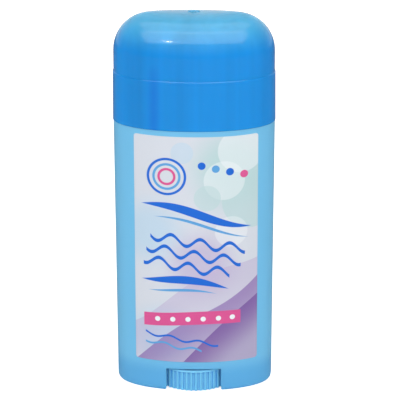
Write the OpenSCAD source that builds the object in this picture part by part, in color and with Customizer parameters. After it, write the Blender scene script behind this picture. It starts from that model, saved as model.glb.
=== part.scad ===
// Antiperspirant stick: an oval pack whose ribbed dial turns a feed screw and lifts the wax bar.
// Origin: centre of the foot, on the surface it stands on. The front, with the label, faces -Y.

/* [Overall] */
// Height of the closed pack
total_h = 140; // [134:0.5:150]
// Width of the cap at its lower edge
cap_w = 58; // [53:0.2:64]
// Depth of the cap at its lower edge
cap_d = 30.2; // [29:0.1:34]
// How full the ovals are, where 2 is an ellipse
oval_power = 2.08; // [2:0.02:2.3]

/* [Cap] */
// Height of the cap
cap_h = 39.5; // [38:0.1:46]
// Height of the cap's wider lower band
band_h = 18.2; // [14:0.2:20]
// How much the band narrows on each side towards its top
band_draft = 0.15; // [0:0.05:0.3]
// How far the cap steps in above the band, on each side
band_step = 0.25; // [0.1:0.05:0.5]
// Height of the sloped ledge on that step
band_ledge_h = 0.9; // [0.4:0.1:1.5]
// Height of the rounding at the cap's top, and how far it reaches in along the width
cap_round = 14; // [10:0.2:14.4]
// How far that rounding reaches in along the depth
cap_round_d = 14.2; // [10:0.1:14.3]
// Wall of the cap
cap_wall = 1.1; // [0.9:0.05:1.4]
// Thickness of the cap's top
cap_top_t = 1.5; // [1.2:0.1:2.2]
// Width of the round gate mark in the middle of the top
gate_d = 4.6; // [3:0.2:7]
// Depth of the gate mark
gate_depth = 0.5; // [0.2:0.1:0.8]
// How far the gate mark narrows on each side towards its bottom
gate_flare = 0.5; // [0.2:0.1:1]
// Space between the seal's flange and the step inside the cap
step_room = 0.5; // [0.3:0.1:1]

/* [Barrel] */
// How far the cap stands proud of the barrel on each side
cap_overhang = 0.2; // [0:0.05:0.4]
// How much narrower the barrel is at its foot, on each side
barrel_taper = 0.55; // [0.3:0.05:0.9]
// How far the rounded edge of the foot reaches in
foot_round = 1; // [0.5:0.1:1.1]
// Height of the rounded edge of the foot
foot_rise = 2; // [1:0.1:2.4]
// Wall of the neck that the cap slides over
neck_wall = 1.2; // [1:0.05:1.6]
// Height of the neck above the shoulder
neck_h = 17.6; // [12:0.2:18]
// Height of the snap bead above the shoulder
bead_z = 7; // [4:0.5:10]
// Width of the snap bead, along the height of the neck
bead_w = 1.2; // [0.8:0.1:2]
// How far the snap bead stands out of the neck
bead_h = 0.12; // [0.06:0.02:0.14]
// Height of the underside of the floor, above the table
floor_z = 9.4; // [9.2:0.1:12]
// Thickness of the floor
floor_t = 1.5; // [1.2:0.1:2.5]
// Wall of the skirt round the dial
skirt_wall = 1.5; // [1.4:0.05:1.7]
// Width of the two openings that show the dial
window_w = 20; // [18:0.2:21]
// Height of the two openings
window_h = 8.9; // [8.5:0.1:9]
// Radius of the openings' upper corners
window_r = 0.6; // [0.3:0.1:1.2]
// How far the openings' lower corners flare
window_flare = 0.9; // [0.4:0.1:1.5]
// Thickness of the ribs in the foot's side pockets
pocket_rib_t = 1; // [0.8:0.1:1.4]
// Spacing of those ribs
pocket_rib_pitch = 6; // [5:0.5:7]
// Gap between the dial and the first of those ribs
pocket_rib_gap = 1; // [0.8:0.1:1.2]
// Height of those ribs' lower edges above the table
pocket_rib_z = 1.8; // [1.5:0.1:3]

/* [Dial and screw] */
// How far the dial stands out of the foot at the front and the back
dial_proud = 0.5; // [0.2:0.05:0.7]
// Height of the dial
dial_h = 7.9; // [6.5:0.1:8.2]
// Gap between the dial and the table
dial_lift = 0.4; // [0.15:0.05:0.6]
// Number of grip ribs round the dial
grip_n = 54; // [44:2:58]
// Radius of one grip rib
grip_r = 0.48; // [0.35:0.01:0.5]
// Height of the plain rim above the grip ribs
dial_rim_h = 0.6; // [0.4:0.1:1]
// How far the rim reaches over the grip ribs
rim_over = 0.1; // [0.05:0.05:0.2]
// Wall of the dial's cup, inside the grip ribs
dial_wall = 1.4; // [1.2:0.1:2]
// Thickness of the dial's top
dial_top_t = 1.5; // [1.2:0.1:2]
// Outer diameter of the hub under the dial's top
hub_d = 12; // [11.5:0.5:15]
// Number of webs between the hub and the dial's wall
web_n = 6; // [4:1:8]
// Thickness of the webs
web_t = 1; // [0.8:0.1:1.5]
// How far the hub and the webs stop short of the dial's lower edge
web_lift = 1; // [0.5:0.1:2]
// Diameter of the journal that turns in the floor
journal_d = 9; // [8.6:0.1:10]
// Height of the catch above the floor
catch_h = 1.6; // [1.2:0.1:2.4]
// How far the catch reaches over the edge of the hole
catch_over = 0.5; // [0.3:0.05:0.8]
// Outer diameter of the screw's thread
screw_d = 8; // [7.4:0.1:8.4]
// Depth of the thread
thread_depth = 0.9; // [0.7:0.05:1.1]
// How far the plain shaft stands out from the thread's root
shaft_step = 0.2; // [0.1:0.05:0.3]
// Share of the pitch that each flank and the crest of the thread take
ridge_share = 0.2; // [0.18:0.01:0.2]
// Turns of the screw's thread below the boss when the bar is down
lead_turns = 2; // [1:1:3]
// Lift of the carrier for one turn of the dial
thread_pitch = 3; // [2.4:0.1:3.6]
// Height of the wax that is left above the screw's end
screw_cover = 22.6; // [20:0.1:26]

/* [Carrier] */
// Thickness of the carrier's plate
plate_t = 1.4; // [1.2:0.1:2]
// Wall of the carrier's skirt and of its rim
carrier_wall = 0.9; // [0.7:0.05:1.2]
// Depth of the skirt below the plate
carrier_skirt_h = 8; // [6:0.5:9]
// Height of the rim round the foot of the bar
carrier_rim_h = 3.5; // [2.5:0.1:5]
// Outer diameter of the threaded boss
boss_d = 13; // [12:0.5:15]
// Length of the threaded boss below the plate
boss_h = 10; // [8:0.5:11]
// Thickness of the webs under the plate
carrier_web_t = 1; // [0.8:0.1:1.4]
// Height of the webs under the plate
carrier_web_h = 6; // [4:0.5:7]
// Distance of the anchor fins from the middle
fin_x = 13; // [11:0.5:16]
// Length of an anchor fin
fin_l = 9; // [6:0.5:11]
// Thickness of an anchor fin
fin_t = 1.2; // [1:0.1:1.6]
// Height of an anchor fin
fin_h = 7; // [6:0.5:10]
// Diameter of the hole through an anchor fin
fin_hole_d = 3.4; // [2.4:0.1:3.8]

/* [Bar and seal] */
// Height of the wax bar
bar_h = 47.5; // [40:0.5:49]
// Radius of the rounding round the top of the bar
bar_round = 10.5; // [8:0.1:11]
// Space between the seal and the inside of the cap's top
headroom = 3; // [2:0.1:4]
// Wall of the seal
seal_wall = 0.6; // [0.5:0.05:0.8]
// How far the seal's plug reaches into the neck
plug_h = 4; // [3:0.1:6]
// Thickness of the seal's flange on the neck
flange_t = 0.6; // [0.5:0.05:0.9]

/* [Label] */
// Width of the label, measured straight across
label_w = 44; // [38:0.5:48]
// How far the label sits to the right of the middle
label_x = 0.9; // [-1.5:0.1:1.5]
// Height of the label's lower edge above the table
label_z = 11.8; // [11:0.1:15]
// Gap between the label's upper edge and the shoulder
label_gap = 1.9; // [1:0.1:5]
// Radius of the label's corners
label_r = 1; // [0.5:0.1:3]
// Thickness of the label
label_t = 0.15; // [0.1:0.01:0.25]

/* [Clearances] */
// Between the cap's skirt and the neck, on each side
cap_fit = 0.18; // [0.16:0.01:0.25]
// Between the cap's edge and the shoulder
cap_seat = 0.1; // [0.05:0.01:0.2]
// Between the carrier and the well, on each side
carrier_fit = 0.25; // [0.2:0.01:0.35]
// Between the bar and the well, on each side
bar_fit = 0.35; // [0.3:0.01:0.4]
// Between the bar and what it was poured against
pour_fit = 0.08; // [0.05:0.01:0.12]
// Between the seal's plug and the neck, on each side
plug_fit = 0.12; // [0.1:0.01:0.18]
// Between the seal and the bar, on each side
seal_fit = 0.3; // [0.25:0.01:0.4]
// Between the seal's flange and the top of the neck
seal_seat = 0.12; // [0.1:0.01:0.2]
// Between the journal and the hole in the floor, on each side
journal_fit = 0.06; // [0.05:0.01:0.09]
// Between the floor and the dial's shoulder, and between the floor and the catch
thrust_fit = 0.12; // [0.1:0.01:0.2]
// Between the screw's thread and the boss's thread
thread_fit = 0.16; // [0.14:0.01:0.2]
// Between the screw and the bore in the bar, on each side
bore_fit = 0.3; // [0.25:0.01:0.5]
// Between the label and the barrel
label_fit = 0.02; // [0.01:0.01:0.05]

/* [Hidden] */
$fn = 96;
blue_deep = "#2f93de";
blue_light = "#6fb4e0";
oval_fn = 64;
round_steps = 7;
foot_steps = 4;
thread_fn = 18;
rib_fn = 16;
over = 1;

// Where the cap and the barrel meet
cap_z = total_h - cap_h;
shoulder_z = cap_z - cap_seat;

// Barrel
shoulder = [cap_w - 2 * cap_overhang, cap_d - 2 * cap_overhang, shoulder_z];
foot_w = shoulder[0] - 2 * barrel_taper;
foot_d = foot_w * shoulder[1] / shoulder[0];
foot = [foot_w, foot_d, 0];
skirt = inset_ring(foot, skirt_wall);
neck = inset_ring([cap_w, cap_d, shoulder_z], cap_wall + cap_fit);
neck_top_z = shoulder_z + neck_h;
well = inset_ring(neck, neck_wall);
well_z = floor_z + floor_t;

// Cap
cap_edge = [cap_w, cap_d, cap_z];
band_top_z = cap_z + band_h;
ledge_z = band_top_z - band_ledge_h;
band_top = at_height(inset_ring(cap_edge, band_draft), ledge_z);
cap_upper = at_height(inset_ring(band_top, band_step), band_top_z);
cap_inner_top_z = total_h - cap_top_t;

// Seal
seal_top_z = cap_inner_top_z - headroom;
flange_z = neck_top_z + seal_seat;
flange_top_z = flange_z + flange_t;
plug_z = flange_z - plug_h;
plug = at_height(inset_ring(well, plug_fit), plug_z);
seal_inside = inset_ring(plug, seal_wall);
seal_round = bar_round + seal_fit + seal_wall;

// Bar
crown_z = plug_z - seal_fit;
crown = at_height(inset_ring(seal_inside, seal_fit), crown_z);
bar = inset_ring(well, bar_fit);
bar_top_z = seal_top_z - seal_wall - seal_fit;
plate_z = bar_top_z - bar_h;
screw_top_z = bar_top_z - screw_cover;
rim_top_z = plate_z + carrier_rim_h;

// Dial and screw
dial_d = foot_d + 2 * dial_proud;
dial_top_z = dial_lift + dial_h;
hole_d = journal_d + 2 * journal_fit;
catch_z = well_z + thrust_fit;
catch_d = hole_d + 2 * catch_over;
root_d = screw_d - 2 * thread_depth;
shaft_d = root_d + 2 * shaft_step;
grip_ring_r = dial_d / 2 - rim_over - grip_r;

// Carrier
platform = inset_ring(well, carrier_fit);
platform_inside = inset_ring(platform, carrier_wall);
plate_under_z = plate_z - plate_t;
boss_z = plate_under_z - boss_h;
thread_z = boss_z - lead_turns * thread_pitch;

// Rings are [width, depth, height] lists. A loft goes up through them.
function inset_ring(ring, inset) = [ring[0] - 2 * inset, ring[1] - 2 * inset, ring[2]];
function at_height(ring, z) = [ring[0], ring[1], z];

// Rings of a rounded top edge up to height z. The rounding is r high and reaches in by r along
// the width and by r_depth along the depth.
function round_top(ring, r, r_depth, z) = [for (step = [0 : round_steps])
    let (a = 90 * step / round_steps, in = 2 * (1 - cos(a)))
    [ring[0] - in * r, ring[1] - in * r_depth, z - r * (1 - sin(a))]];

// Rings of a rounded foot that stands on the table
function round_foot(ring, r, rise) = [for (step = [0 : foot_steps])
    let (a = 90 * step / foot_steps) at_height(inset_ring(ring, r * (1 - sin(a))), rise * (1 - cos(a)))];

// Rings of a snap bead at height z. A negative inset stands out of a solid, or cuts a groove in
// the wall round a hollow.
function bead_rings(ring, z, w, inset) = let (peak = inset_ring(ring, inset))
    [at_height(ring, z - w / 2), at_height(peak, z - w / 4),
     at_height(peak, z + w / 4), at_height(ring, z + w / 2)];

// Outline points of an oval
function fuller(v) = sign(v) * pow(abs(v), 2 / oval_power);
function oval_points(w, d) = [for (i = [0 : oval_fn - 1])
    let (a = 360 * i / oval_fn) [w / 2 * fuller(cos(a)), d / 2 * fuller(sin(a))]];

// A solid skinned over oval rings, flat at both ends
module oval_loft(rings) {
    n = oval_fn;
    last = len(rings) - 1;
    points = [for (ring = rings, p = oval_points(ring[0], ring[1])) [p[0], p[1], ring[2]]];
    sides = [for (j = [0 : last - 1], i = [0 : n - 1]) let (next = (i + 1) % n)
        [j * n + i, (j + 1) * n + i, (j + 1) * n + next, j * n + next]];
    ends = [[for (i = [0 : n - 1]) i], [for (i = [0 : n - 1]) (last + 1) * n - 1 - i]];
    polyhedron(points, concat(sides, ends));
}

// A straight oval prism, the size of a ring, between two heights
module oval_prism(ring, z0, z1) {
    translate([0, 0, z0]) linear_extrude(z1 - z0) polygon(oval_points(ring[0], ring[1]));
}

// A rectangle with round corners, its lower edge on the X axis
module rounded_rect(w, h, r) {
    translate([-w / 2, r]) square([w, h - 2 * r]);
    translate([r - w / 2, 0]) square([w - 2 * r, h]);
    for (x = [r - w / 2, w / 2 - r], y = [r, h - r]) translate([x, y]) circle(r);
}

// The threaded rod's points go round the helix, thread_fn steps a turn. Each step has four of
// them up the rod: the root below the ridge, both edges of its crest and the root above it.
function ridge_ease(k, n) = let (blunt = thread_fn / 4)
    min(1, (k + blunt) / thread_fn, (n - k + blunt) / thread_fn);
function polar(k, r, z) = [r * cos(360 * k / thread_fn), r * sin(360 * k / thread_fn), z];
function ridge_points(k, n, r, depth, z0, swell) =
    let (z = z0 + thread_pitch * k / thread_fn, share = ridge_share * thread_pitch,
         root = r - depth, crest = root + depth * ridge_ease(k, n))
    [polar(k, root, z - swell), polar(k, crest, z + share - swell),
     polar(k, crest, z + 2 * share + swell), polar(k, root, z + 3 * share + swell)];

// A rod with one right-hand ridge that runs out at both ends. The swell makes the ridge thicker,
// up and down, for cutting the thread that runs on it.
module threaded_rod(r, depth, z0, z1, swell = 0) {
    f = thread_fn;
    n = f * floor((z1 - z0) / thread_pitch - 1);
    ridge = [for (k = [0 : n]) each ridge_points(k, n, r, depth, z0 + ridge_share * thread_pitch, swell)];
    foot = [for (i = [0 : f - 1]) polar(i, r - depth, z0)];
    head = [for (i = [0 : f - 1]) polar(i, r - depth, z1)];
    foot_at = 4 * (n + 1);
    head_at = foot_at + f;
    flanks = [for (k = [0 : n - 1], j = [0 : 2]) [4 * k + j, 4 * k + j + 1, 4 * k + j + 5, 4 * k + j + 4]];
    roots = [for (k = [0 : n - f - 1]) [4 * k + 3, 4 * (k + f), 4 * (k + f) + 4, 4 * k + 7]];
    below = [for (i = [0 : f - 2]) [foot_at + i, 4 * i, 4 * i + 4, foot_at + i + 1]];
    below_end = [for (pair = [[4 * f, 3], [3, 0], [0, foot_at], [foot_at, foot_at + f - 1]])
        concat([4 * f - 4], pair)];
    last = 4 * (n - f) + 3;
    above_start = [for (pair = [[last, 4 * n], [4 * n, 4 * n + 3],
                                [4 * n + 3, head_at], [head_at, head_at + 1]])
        concat([last + 4], pair)];
    ridge_ends = [[0, 3, 2, 1], [4 * n, 4 * n + 1, 4 * n + 2, 4 * n + 3]];
    above = [for (i = [1 : f - 1]) [last + 4 * i, head_at + i, head_at + (i + 1) % f, last + 4 * i + 4]];
    ends = [[for (i = [0 : f - 1]) foot_at + i], [for (i = [0 : f - 1]) head_at + f - 1 - i]];
    polyhedron(concat(ridge, foot, head),
               concat(flanks, roots, below, below_end, above_start, above, ridge_ends, ends));
}

// The opening that shows the dial: round upper corners, and lower corners that flare
module window() {
    rounded_top = window_h - window_r;
    translate([-window_w / 2, -over]) square([window_w, over + rounded_top]);
    translate([window_r - window_w / 2, 0]) square([window_w - 2 * window_r, window_h]);
    for (side = [-1, 1]) {
        translate([side * (window_w / 2 - window_r), rounded_top]) circle(window_r);
        difference() {
            translate([side * window_w / 2, 0]) square([2 * window_flare, 2 * window_flare], center = true);
            translate([side * (window_w / 2 + window_flare), window_flare]) circle(window_flare);
        }
    }
}

// Outer oval shell with its neck, floor and skirt
module barrel() {
    rib_zone = inset_ring(skirt, -skirt_wall / 2);
    first_rib_x = dial_d / 2 + pocket_rib_gap + pocket_rib_t / 2;
    color(blue_light) {
        difference() {
            oval_loft(concat(round_foot(foot, foot_round, foot_rise), [shoulder, neck],
                             bead_rings(neck, shoulder_z + bead_z, bead_w, -bead_h),
                             [at_height(neck, neck_top_z)]));
            oval_prism(well, well_z, neck_top_z + over);
            oval_prism(skirt, -over, floor_z);
            cylinder(h = 2 * well_z, d = hole_d);
            rotate([90, 0, 0]) linear_extrude(2 * foot_d, center = true) window();
        }
        for (side = [-1, 1], i = [0, 1]) intersection() {
            oval_prism(rib_zone, pocket_rib_z, floor_z + floor_t / 2);
            translate([side * (first_rib_x + i * pocket_rib_pitch) - pocket_rib_t / 2, -foot_d, 0])
                cube([pocket_rib_t, 2 * foot_d, 2 * floor_z]);
        }
    }
}

// Label on the front, curved to the barrel
module front_label() {
    back = -label_fit;
    face = back - label_t;
    color("#d8dce2") intersection() {
        difference() {
            oval_loft([inset_ring(foot, face), inset_ring(shoulder, face)]);
            oval_loft([inset_ring(foot, back), inset_ring(shoulder, back)]);
        }
        translate([label_x, 0, label_z]) rotate([90, 0, 0]) linear_extrude(cap_d)
            rounded_rect(label_w, shoulder_z - label_gap - label_z, label_r);
    }
}

// Outline of the dial with its round grip ribs
module grip_outline() {
    circle(grip_ring_r);
    for (i = [0 : grip_n - 1]) rotate(360 * i / grip_n)
        translate([grip_ring_r, 0]) circle(grip_r, $fn = rib_fn);
}

// Dial, journal, catch and feed screw, moulded in one
module dial_screw() {
    cup_r = grip_ring_r - dial_wall;
    rim_z = dial_top_z - dial_rim_h;
    web_h = dial_h - web_lift - dial_top_t / 2;
    color(blue_light) {
        difference() {
            union() {
                translate([0, 0, dial_lift]) linear_extrude(dial_h - dial_rim_h) grip_outline();
                translate([0, 0, rim_z]) cylinder(h = dial_rim_h, d1 = dial_d, d2 = dial_d - dial_rim_h);
            }
            translate([0, 0, -over]) cylinder(h = dial_top_z - dial_top_t + over, r = cup_r);
        }
        translate([0, 0, dial_lift + web_lift]) {
            cylinder(h = web_h, d = hub_d);
            for (i = [0 : web_n - 1]) rotate(360 * i / web_n)
                translate([0, -web_t / 2, 0]) cube([cup_r + dial_wall / 2, web_t, web_h]);
        }
        translate([0, 0, dial_top_z - over]) {
            cylinder(h = floor_z - thrust_fit - dial_top_z + over, d = hub_d);
            cylinder(h = catch_z - dial_top_z + 2 * over, d = journal_d);
        }
        translate([0, 0, catch_z]) cylinder(h = catch_h, d1 = catch_d, d2 = screw_d);
        translate([0, 0, catch_z]) cylinder(h = thread_z + thread_pitch / 2 - catch_z, d = shaft_d);
        threaded_rod(screw_d / 2, thread_depth, thread_z, screw_top_z);
    }
}

// Platform under the wax bar, with its threaded boss
module carrier() {
    web_zone = inset_ring(platform, carrier_wall / 2);
    color("#eef1f4") {
        difference() {
            union() {
                difference() {
                    oval_prism(platform, plate_under_z - carrier_skirt_h, rim_top_z);
                    oval_prism(platform_inside, plate_z, rim_top_z + over);
                    oval_prism(platform_inside, plate_under_z - carrier_skirt_h - over, plate_under_z);
                }
                translate([0, 0, boss_z]) cylinder(h = plate_z - boss_z - plate_t / 2, d = boss_d);
                intersection() {
                    oval_prism(web_zone, plate_under_z - carrier_web_h, plate_z - plate_t / 2);
                    for (turn = [0, 90]) rotate(turn) translate([-cap_w, -carrier_web_t / 2, 0])
                        cube([2 * cap_w, carrier_web_t, total_h]);
                }
            }
            threaded_rod(screw_d / 2 + thread_fit, thread_depth, thread_z - thread_pitch,
                         screw_top_z, thread_fit);
        }
        for (side = [-1, 1]) fin(side);
    }
}

// Anchor fin that stands up into the wax, with a hole that the wax fills. It grows on all sides
// for the slot that the wax leaves round it.
module fin(side, grow = 0) {
    root_z = plate_z - plate_t / 2;
    t = fin_t + 2 * grow;
    translate([side * fin_x - t / 2, -fin_l / 2 - grow, root_z]) difference() {
        cube([t, fin_l + 2 * grow, plate_z + fin_h + grow - root_z]);
        translate([-over, fin_l / 2 + grow, plate_z + fin_h - fin_hole_d - root_z]) rotate([0, 90, 0])
            cylinder(h = t + 2 * over, d = fin_hole_d - 2 * grow);
    }
}

// The bar of wax, poured round the carrier's rim and fins and moulded by the seal
module wax_bar() {
    base = at_height(inset_ring(platform_inside, pour_fit), plate_z + pour_fit);
    foot_step_z = rim_top_z + pour_fit;
    color("#f7f6f1") difference() {
        oval_loft(concat([base, at_height(base, foot_step_z), at_height(bar, foot_step_z),
                          at_height(bar, crown_z), crown],
                         round_top(crown, bar_round, bar_round, bar_top_z)));
        cylinder(h = screw_top_z + bore_fit, d = screw_d + 2 * bore_fit);
        for (side = [-1, 1]) fin(side, pour_fit);
    }
}

// Thin moulded cover over the bar, pressed into the neck
module seal_cover() {
    flange = at_height(inset_ring(neck, neck_wall / 2), flange_z);
    inner_round = seal_round - seal_wall;
    outer = concat([plug, at_height(plug, flange_z), flange,
                    at_height(flange, flange_top_z), at_height(plug, flange_top_z)],
                   round_top(plug, seal_round, seal_round, seal_top_z));
    inner = concat([at_height(seal_inside, plug_z - over)],
                   round_top(seal_inside, inner_round, inner_round, seal_top_z - seal_wall));
    color("#f2f4f7") difference() {
        oval_loft(outer);
        oval_loft(inner);
    }
}

// Pull-off cap with its wider band, arched top and gate mark
module cap() {
    band_inside = inset_ring(cap_edge, cap_wall);
    upper_inside = inset_ring(cap_upper, cap_wall);
    step_z = flange_top_z + step_room;
    outer = concat([cap_edge, band_top, cap_upper], round_top(cap_upper, cap_round, cap_round_d, total_h));
    inner = concat([at_height(band_inside, cap_z - over)],
                   bead_rings(band_inside, shoulder_z + bead_z, bead_w, -bead_h),
                   [at_height(band_inside, step_z), at_height(upper_inside, step_z + band_ledge_h)],
                   round_top(upper_inside, cap_round - cap_wall, cap_round_d - cap_wall, cap_inner_top_z));
    color(blue_deep) difference() {
        oval_loft(outer);
        oval_loft(inner);
        translate([0, 0, total_h - gate_depth])
            cylinder(h = 2 * gate_depth, d1 = gate_d - 2 * gate_flare, d2 = gate_d + 2 * gate_flare);
    }
}

barrel();
front_label();
dial_screw();
carrier();
wax_bar();
seal_cover();
cap();
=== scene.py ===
import logging
import math
from dataclasses import dataclass
from enum import Enum
from typing import Any, Callable, Sequence

import bmesh
import bpy
from bmesh.types import BMEdge, BMesh
from bpy.types import Material, NodeSocket, NodeTree
from mathutils import Matrix, Vector


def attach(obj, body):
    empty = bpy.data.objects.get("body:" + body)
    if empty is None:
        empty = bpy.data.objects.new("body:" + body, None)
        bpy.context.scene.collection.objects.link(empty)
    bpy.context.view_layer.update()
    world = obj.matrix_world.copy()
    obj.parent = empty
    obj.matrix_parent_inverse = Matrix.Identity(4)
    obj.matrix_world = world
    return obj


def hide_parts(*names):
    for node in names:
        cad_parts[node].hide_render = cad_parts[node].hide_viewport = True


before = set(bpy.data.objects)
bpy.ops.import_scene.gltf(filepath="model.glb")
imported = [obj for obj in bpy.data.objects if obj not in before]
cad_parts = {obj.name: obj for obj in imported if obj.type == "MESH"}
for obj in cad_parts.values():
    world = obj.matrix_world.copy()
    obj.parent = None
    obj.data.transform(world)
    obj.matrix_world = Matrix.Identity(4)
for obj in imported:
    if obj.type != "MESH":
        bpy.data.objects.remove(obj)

LOG = logging.getLogger("deodorant_stick")
MM = 0.001
MERGE = 1e-6  # Metres: closer points are one.
FLAT = 0.4  # Degrees: faces that bend less become one.
BEVELLED = 40.0  # Degrees: only sharper edges are bevelled.
HARD, HARD_LABEL, HARD_LOFT = 32.0, 30.0, 40.0  # Degrees: sharper edges of solids, the label and lofts stay hard.
ROUNDING_STEPS = 18

Colour = Point = Ring = tuple[float, float, float]
Span = tuple[float, float]


class Node(str, Enum):
    """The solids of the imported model."""

    BARREL = "barrel"
    LABEL = "front_label"
    DIAL = "dial_screw"
    CARRIER = "carrier"
    BAR = "wax_bar"
    SEAL = "seal_cover"
    CAP = "cap"


class Body(str, Enum):
    """The bodies that move."""

    PACK = "pack"
    DIAL = "dial"
    PLATFORM = "platform"
    SEAL = "seal"
    CAP = "cap"


class Slot(str, Enum):
    """The record's material slots."""

    BARREL = "barrel_plastic"
    LABEL = "label_film"
    DIAL = "dial_plastic"
    INNER = "inner_plastic"
    WAX = "wax"
    SEAL = "seal_plastic"
    CAP = "cap_plastic"


class Hidden(Enum):
    """The kind of light that a lamp doesn't give."""

    MATT = "visible_diffuse"
    GLOSS = "visible_glossy"


Finishes = dict[Slot, Material]


def linear(red: int, green: int, blue: int) -> Colour:
    """Turns a screen's colour of 0 to 255 a channel into linear light of 0 to 1."""

    def channel(value: float) -> float:
        """Turns one channel into linear light."""
        value /= 255
        return value / 12.92 if value <= 0.04045 else ((value + 0.055) / 1.055) ** 2.4

    return channel(red), channel(green), channel(blue)


class Graph:
    """Makes nodes in one node tree and wires them."""

    def __init__(self, tree: NodeTree) -> None:
        """Keeps the tree that the nodes go into."""
        self.tree = tree

    def add(self, kind: str, values: dict[str, Any] | None = None, **settings: Any) -> bpy.types.Node:
        """Adds a node.

        Args:
            kind: Blender's name of the node's class.
            values: Outputs or plain values for its inputs, by name.
            **settings: Properties of the node.

        Returns:
            The new node.
        """
        node = self.tree.nodes.new(kind)
        for name, value in settings.items():
            setattr(node, name, value)
        self.fill(node, values or {})
        return node

    def feed(self, socket: NodeSocket, value: Any) -> None:
        """Links an output to a socket, or sets the socket's own value."""
        if isinstance(value, NodeSocket):
            self.tree.links.new(value, socket)
        else:
            socket.default_value = value

    def fill(self, node: bpy.types.Node, values: dict[str, Any]) -> None:
        """Feeds a node's inputs by name."""
        for name, value in values.items():
            self.feed(node.inputs[name], value)

    def place(self) -> NodeSocket:
        """Gives the point in the piece's own coordinates, in metres."""
        return self.add("ShaderNodeTexCoord").outputs["Object"]

    def split(self, vector: NodeSocket) -> Sequence[NodeSocket]:
        """Splits a vector into its X, Y and Z."""
        return self.add("ShaderNodeSeparateXYZ", {"Vector": vector}).outputs

    def mapped(self, vector: NodeSocket, scale: Point, lean: Point = (0.0, 0.0, 0.0)) -> NodeSocket:
        """Scales coordinates along each axis, and turns them about each axis, in radians."""
        return self.add("ShaderNodeMapping", {"Vector": vector, "Scale": scale, "Rotation": lean}).outputs[0]

    def maths(self, operation: str, *values: Any, clamp: bool = False) -> NodeSocket:
        """Adds a Math node.

        Args:
            operation: Blender's name of the operation.
            *values: Numbers or outputs, in order.
            clamp: Whether the result is held between 0 and 1.

        Returns:
            The node's output.
        """
        node = self.add("ShaderNodeMath", operation=operation, use_clamp=clamp)
        for socket, value in zip(node.inputs, values):
            self.feed(socket, value)
        return node.outputs[0]

    def ramp(self, value: Any, low: float, high: float) -> NodeSocket:
        """Maps a value from low to high onto 0 to 1, eased in and out.

        Args:
            value: The output to map.
            low: The value that gives 0.
            high: The value that gives 1.

        Returns:
            The mask.
        """
        values = {"Value": value, "From Min": low, "From Max": high, "To Min": 0.0, "To Max": 1.0}
        return self.add("ShaderNodeMapRange", values, interpolation_type="SMOOTHSTEP").outputs[0]

    def mix(self, mask: Any, under: Any, over: Any) -> NodeSocket:
        """Lays one colour over another.

        Args:
            mask: Where the upper colour shows, 0 to 1.
            under: The lower colour.
            over: The upper colour.

        Returns:
            The mixed colour.
        """
        node = self.add("ShaderNodeMix", data_type="RGBA")
        self.feed(node.inputs[0], mask)
        for socket, value in ((node.inputs[6], under), (node.inputs[7], over)):
            self.feed(socket, (*value, 1.0) if isinstance(value, tuple) and len(value) == 3 else value)
        return node.outputs[2]

    def noise(self, vector: Any, scale: Any, detail: float, roughness: float = 0.5) -> NodeSocket:
        """Adds a noise texture and returns its value.

        Args:
            vector: The coordinates.
            scale: Waves to a metre.
            detail: How many finer layers it has.
            roughness: How strong the finer layers are.

        Returns:
            The value, 0 to 1.
        """
        values = {"Vector": vector, "Scale": scale, "Detail": detail, "Roughness": roughness}
        return self.add("ShaderNodeTexNoise", values).outputs[0]


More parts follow.
